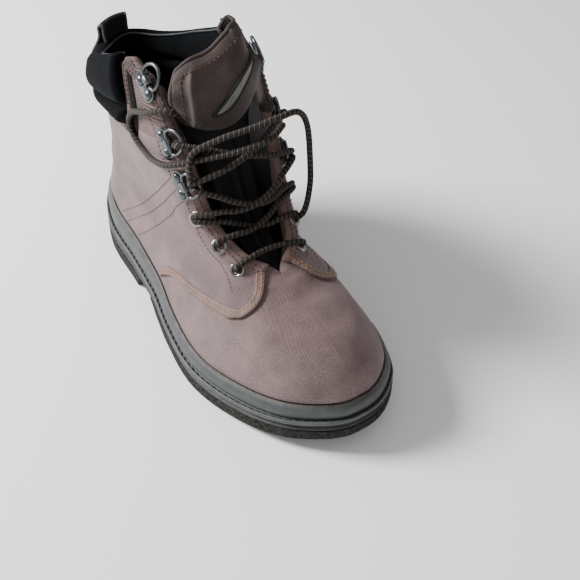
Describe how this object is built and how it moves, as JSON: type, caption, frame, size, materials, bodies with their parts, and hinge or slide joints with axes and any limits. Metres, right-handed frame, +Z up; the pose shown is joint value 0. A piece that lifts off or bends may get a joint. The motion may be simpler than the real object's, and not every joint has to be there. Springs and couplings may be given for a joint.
{
  "type": "wading boot",
  "caption": "Felt-soled lace-up wading boot for the right foot, with padded collar, D-rings, eyelets and a heel pull loop.",
  "frame": {"origin": "middle of the boot's length and width, on the floor", "axes": "+X from heel to toe, +Z up, the outer (lateral) side towards -Y"},
  "size_m": [0.312, 0.1231, 0.2076],
  "materials": {
    "felt": "matt speckled felt",
    "midsole_rubber": "moulded, satin",
    "rand_rubber": "moulded, satin",
    "insole_foam": "matt",
    "upper_canvas": "coated canvas, matt",
    "quarter_canvas": "coated canvas, matt",
    "tongue_canvas": "padded canvas, matt",
    "collar_knit": "padded knit, matt",
    "webbing": "woven webbing",
    "woven_patch": "woven, satin",
    "nickel_eyelet": "satin nickel",
    "nickel_steel": "worn nickel plate",
    "lace_cord": "braided round lace"
  },
  "bodies": {
    "root": {"collar": "collar_knit", "eyelet_lateral_low": "nickel_eyelet", "eyelet_lateral_middle": "nickel_eyelet", "eyelet_lateral_top": "nickel_eyelet", "eyelet_medial_low": "nickel_eyelet", "eyelet_medial_middle": "nickel_eyelet", "eyelet_medial_top": "nickel_eyelet", "insole": "insole_foam", "lace_bar": "lace_cord", "lace_cross_low": "lace_cord", "lace_cross_middle": "lace_cord", "lace_cross_top": "lace_cord", "lace_loop_lateral": "lace_cord", "lace_loop_medial": "lace_cord", "midsole": "midsole_rubber", "outsole_forefoot": "felt", "outsole_heel": "felt", "pull_loop": "webbing", "quarter_lateral": "quarter_canvas", "quarter_medial": "quarter_canvas", "rand": "rand_rubber", "ring_lateral_low": "nickel_steel", "ring_lateral_middle": "nickel_steel", "ring_lateral_top": "nickel_steel", "ring_medial_low": "nickel_steel", "ring_medial_middle": "nickel_steel", "ring_medial_top": "nickel_steel", "ring_plate_lateral_low": "nickel_steel", "ring_plate_lateral_middle": "nickel_steel", "ring_plate_lateral_top": "nickel_steel", "ring_plate_medial_low": "nickel_steel", "ring_plate_medial_middle": "nickel_steel", "ring_plate_medial_top": "nickel_steel", "tongue": "tongue_canvas", "tongue_patch": "woven_patch", "upper": "upper_canvas"}
  },
  "joints": []
}
